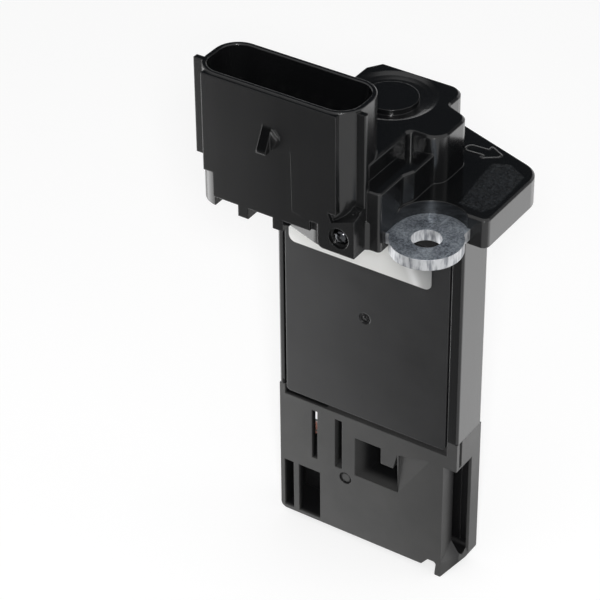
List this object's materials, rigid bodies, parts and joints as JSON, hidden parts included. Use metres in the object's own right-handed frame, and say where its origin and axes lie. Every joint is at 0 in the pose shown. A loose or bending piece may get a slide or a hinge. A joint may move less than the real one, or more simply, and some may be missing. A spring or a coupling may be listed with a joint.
{
  "type": "mass airflow sensor",
  "caption": "Plug-in mass airflow sensor: a bolted flange with a moulded connector above and a flat bypass probe below that measures the air in an intake duct.",
  "frame": {"origin": "middle of the seating face under the flange, on the probe's axis", "axes": "+Z out of the duct, along the probe towards the connector; +X along the air flow; -Y towards the connector's side and the probe's front"},
  "size_m": [0.0482, 0.0404, 0.0986],
  "materials": {
    "black_moulding": "semi-gloss black glass-filled moulding",
    "cover_moulding": "semi-gloss black moulding",
    "bypass_moulding": "satin black moulding",
    "lug_metal": "mottled bluish grey with a bright sheared edge",
    "ball_steel": "polished bearing steel",
    "foil": "satin metallic foil",
    "board_laminate": "green solder mask",
    "chip_package": "black epoxy",
    "capacitor_body": "tan ceramic",
    "sensor_package": "plain metal lid",
    "flow_element": "polished silicon",
    "bead_glass": "red glass",
    "lead_wire": "tinned wire",
    "terminal_metal": "tinned copper alloy"
  },
  "bodies": {
    "root": {"housing": "black_moulding", "front_lug": "lug_metal", "rear_lug": "lug_metal", "vent_ball": "ball_steel", "front_cover": "cover_moulding", "foil_sheet": "foil", "circuit_board": "board_laminate", "signal_chip": "chip_package", "capacitors": "capacitor_body", "pressure_sensor": "sensor_package", "humidity_sensor": "sensor_package", "flow_chip": "flow_element", "thermistor_bead": "bead_glass", "thermistor_leads": "lead_wire", "bypass_body": "bypass_moulding", "bypass_cover": "bypass_moulding", "terminal_1": "terminal_metal", "terminal_2": "terminal_metal", "terminal_3": "terminal_metal", "terminal_4": "terminal_metal", "terminal_5": "terminal_metal", "terminal_6": "terminal_metal", "terminal_7": "terminal_metal", "terminal_8": "terminal_metal"}
  },
  "joints": []
}
